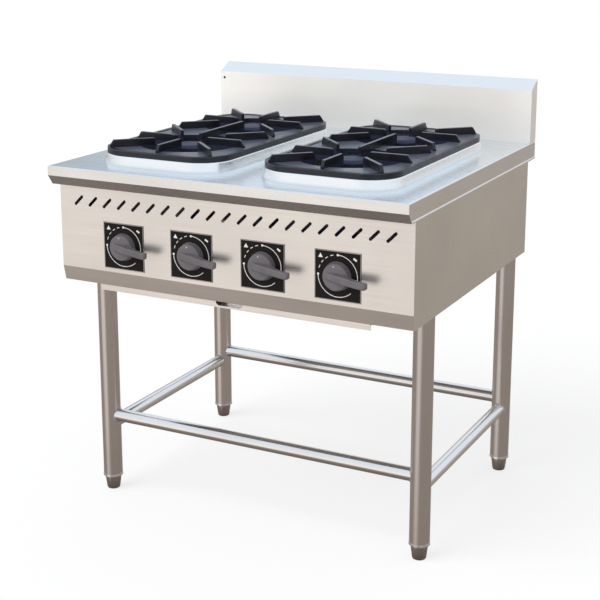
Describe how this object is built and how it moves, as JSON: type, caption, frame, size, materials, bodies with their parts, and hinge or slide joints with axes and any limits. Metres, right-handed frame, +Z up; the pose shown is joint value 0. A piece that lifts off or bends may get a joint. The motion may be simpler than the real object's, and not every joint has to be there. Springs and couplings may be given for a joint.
{
  "type": "commercial gas stove",
  "caption": "Free-standing gas stove: folded steel worktop with finned iron grates on raised collars, lever knobs, slotted front, drip tray, backsplash and braced tube legs.",
  "frame": {"origin": "on the floor, under the middle of the worktop", "axes": "+X to the right along the front, +Y to the back, +Z up"},
  "size_m": [0.8, 0.74, 0.904],
  "materials": {
    "stainless_sheet": "brushed stainless sheet",
    "steel_tube": "satin stainless tube",
    "grate_iron": "blue-black enamelled casting",
    "burner_iron": "plain casting",
    "bright_ring": "polished",
    "foot_steel": "dark grey",
    "stem_steel": "turned steel",
    "knob_plastic": "moulded, dark grey",
    "knob_plate_black": "black with light marks",
    "valve_brass": "machined",
    "pipe_steel": "galvanised pipe"
  },
  "bodies": {
    "stand": {"worktop": "stainless_sheet", "backsplash": "stainless_sheet", "front_panel": "stainless_sheet", "rear_panel": "stainless_sheet", "left_side_panel": "stainless_sheet", "left_tray_runner": "stainless_sheet", "left_stretcher": "steel_tube", "right_side_panel": "stainless_sheet", "right_tray_runner": "stainless_sheet", "right_stretcher": "steel_tube", "front_stretcher": "steel_tube", "front_burner_rail": "stainless_sheet", "rear_stretcher": "steel_tube", "rear_burner_rail": "stainless_sheet", "leg_front_left": "steel_tube", "foot_insert_front_left": "bright_ring", "burner_front_left": "burner_iron", "burner_cap_front_left": "burner_iron", "leg_front_right": "steel_tube", "foot_insert_front_right": "bright_ring", "burner_front_right": "burner_iron", "burner_cap_front_right": "burner_iron", "leg_rear_left": "steel_tube", "foot_insert_rear_left": "bright_ring", "burner_rear_left": "burner_iron", "burner_cap_rear_left": "burner_iron", "leg_rear_right": "steel_tube", "foot_insert_rear_right": "bright_ring", "burner_rear_right": "burner_iron", "burner_cap_rear_right": "burner_iron", "knob_plate_1": "knob_plate_black", "gas_valve_1": "valve_brass", "knob_plate_2": "knob_plate_black", "gas_valve_2": "valve_brass", "knob_plate_3": "knob_plate_black", "gas_valve_3": "valve_brass", "knob_plate_4": "knob_plate_black", "gas_valve_4": "valve_brass", "injectors": "valve_brass", "leg_plugs": "stem_steel", "gas_manifold": "pipe_steel", "gas_inlet": "valve_brass"},
    "knob_1_body": {"knob_1": "knob_plastic", "valve_stem_1": "stem_steel"},
    "knob_2_body": {"knob_2": "knob_plastic", "valve_stem_2": "stem_steel"},
    "knob_3_body": {"knob_3": "knob_plastic", "valve_stem_3": "stem_steel"},
    "knob_4_body": {"knob_4": "knob_plastic", "valve_stem_4": "stem_steel"},
    "tray_body": {"drip_tray": "stainless_sheet", "tray_front": "stainless_sheet"},
    "foot_front_left_body": {"foot_front_left": "foot_steel"},
    "foot_front_right_body": {"foot_front_right": "foot_steel"},
    "foot_rear_left_body": {"foot_rear_left": "foot_steel"},
    "foot_rear_right_body": {"foot_rear_right": "foot_steel"},
    "left_grate_body": {"left_grate": "grate_iron", "left_grate_studs": "stem_steel"},
    "right_grate_body": {"right_grate": "grate_iron", "right_grate_studs": "stem_steel"}
  },
  "joints": [
    {"name": "knob_1_turn", "type": "hinge", "parent": "stand", "child": "knob_1_body", "pos_m": [-0.24195, -0.3346, 0.602], "axis": [0, -1, 0], "range_deg": [0, 180]},
    {"name": "knob_2_turn", "type": "hinge", "parent": "stand", "child": "knob_2_body", "pos_m": [-0.08065, -0.3346, 0.602], "axis": [0, -1, 0], "range_deg": [0, 180]},
    {"name": "knob_3_turn", "type": "hinge", "parent": "stand", "child": "knob_3_body", "pos_m": [0.08065, -0.3346, 0.602], "axis": [0, -1, 0], "range_deg": [0, 180]},
    {"name": "knob_4_turn", "type": "hinge", "parent": "stand", "child": "knob_4_body", "pos_m": [0.24195, -0.3346, 0.602], "axis": [0, -1, 0], "range_deg": [0, 180]},
    {"name": "drip_tray_slide", "type": "slide", "parent": "stand", "child": "tray_body", "axis": [0, -1, 0], "range_m": [0, 0.4]},
    {"name": "foot_front_left_screw", "type": "slide", "parent": "stand", "child": "foot_front_left_body", "axis": [0, 0, -1], "range_m": [0, 0.025]},
    {"name": "foot_front_right_screw", "type": "slide", "parent": "stand", "child": "foot_front_right_body", "axis": [0, 0, -1], "range_m": [0, 0.025]},
    {"name": "foot_rear_left_screw", "type": "slide", "parent": "stand", "child": "foot_rear_left_body", "axis": [0, 0, -1], "range_m": [0, 0.025]},
    {"name": "foot_rear_right_screw", "type": "slide", "parent": "stand", "child": "foot_rear_right_body", "axis": [0, 0, -1], "range_m": [0, 0.025]},
    {"name": "left_grate_lift", "type": "slide", "parent": "stand", "child": "left_grate_body", "axis": [0, 0, 1], "range_m": [0, 0.08]},
    {"name": "right_grate_lift", "type": "slide", "parent": "stand", "child": "right_grate_body", "axis": [0, 0, 1], "range_m": [0, 0.08]}
  ]
}
